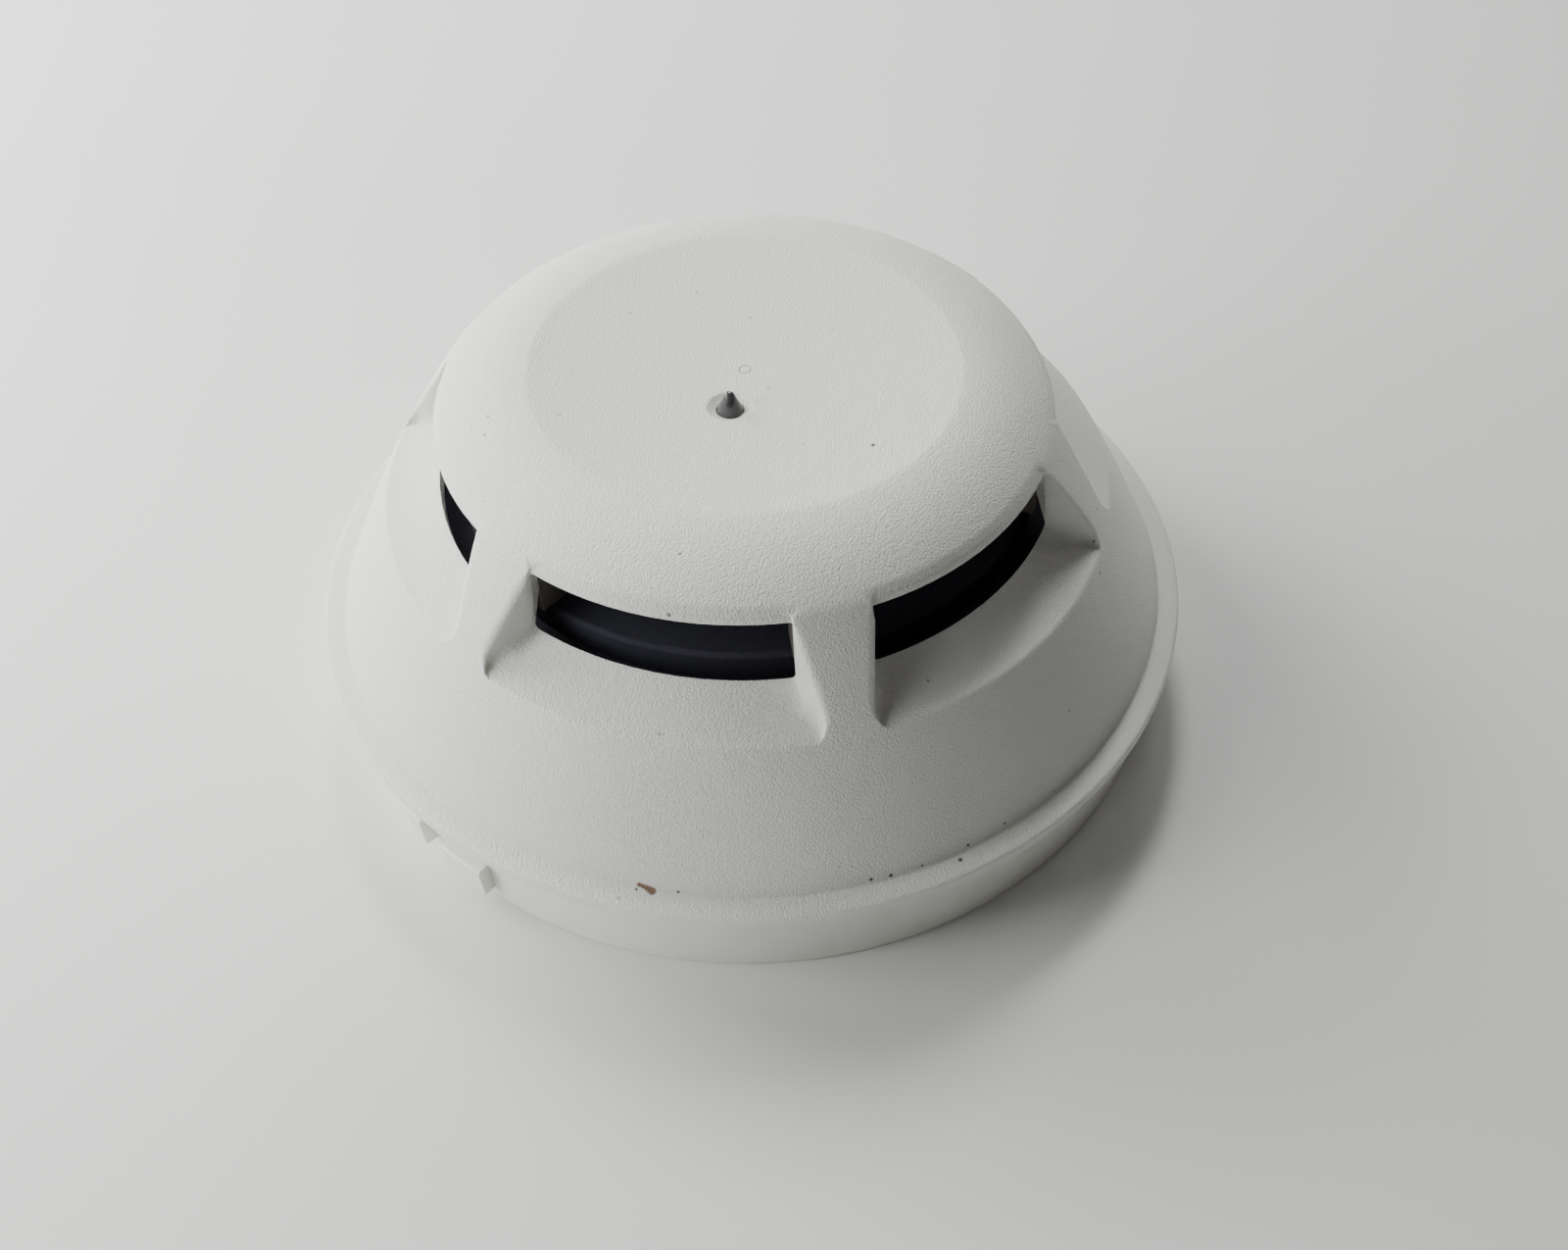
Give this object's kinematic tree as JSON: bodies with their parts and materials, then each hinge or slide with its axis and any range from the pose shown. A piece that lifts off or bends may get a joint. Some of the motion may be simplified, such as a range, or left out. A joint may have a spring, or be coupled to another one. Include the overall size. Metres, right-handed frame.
{
  "type": "heat detector head",
  "caption": "White plug-in heat detector head with a ring of air windows round a dished cap, a light pipe, a thermistor under the cap and bayonet lugs",
  "frame": {"origin": "centre of the skirt's lower rim, on the head's axis, in the plane of the rim", "axes": "+Z along the head's axis towards the dished cap; -Y through the light pipe and the middle of one air window"},
  "size_m": [0.102, 0.102, 0.0424],
  "materials": {
    "cover_white": "fine textured",
    "housing_ivory": "smooth satin",
    "shield_dark": "satin",
    "pipe_smoke": "smoky clear",
    "led_clear": "clear resin",
    "board_green": "lacquered",
    "bead_epoxy": "dipped epoxy",
    "tinned_wire": "tinned",
    "contact_metal": "nickel plated",
    "screw_zinc": "zinc plated",
    "nut_brass": "machined",
    "package_black": "moulded",
    "can_metal": "satin",
    "reed_glass": "clear",
    "ceramic_tan": "fired"
  },
  "bodies": {
    "root": {"outer_cover": "cover_white", "back_housing": "housing_ivory", "inner_shield": "shield_dark", "light_pipe": "pipe_smoke", "status_led": "led_clear", "circuit_board": "board_green", "sensing_thermistor": "bead_epoxy", "sensing_leads": "tinned_wire", "reference_thermistor": "bead_epoxy", "reference_leads": "tinned_wire", "contact_screws": "screw_zinc", "contact_nuts": "nut_brass", "shield_screws": "screw_zinc", "control_chip": "package_black", "bridge_rectifier": "package_black", "surge_clamp": "package_black", "electrolytic_capacitor": "can_metal", "timing_crystal": "can_metal", "transistors": "package_black", "resistors": "package_black", "ceramic_capacitors": "ceramic_tan", "reed_switch": "reed_glass", "reed_leads": "tinned_wire", "contact_blade_1": "contact_metal", "contact_blade_2": "contact_metal", "contact_blade_3": "contact_metal", "contact_blade_4": "contact_metal"}
  },
  "joints": []
}
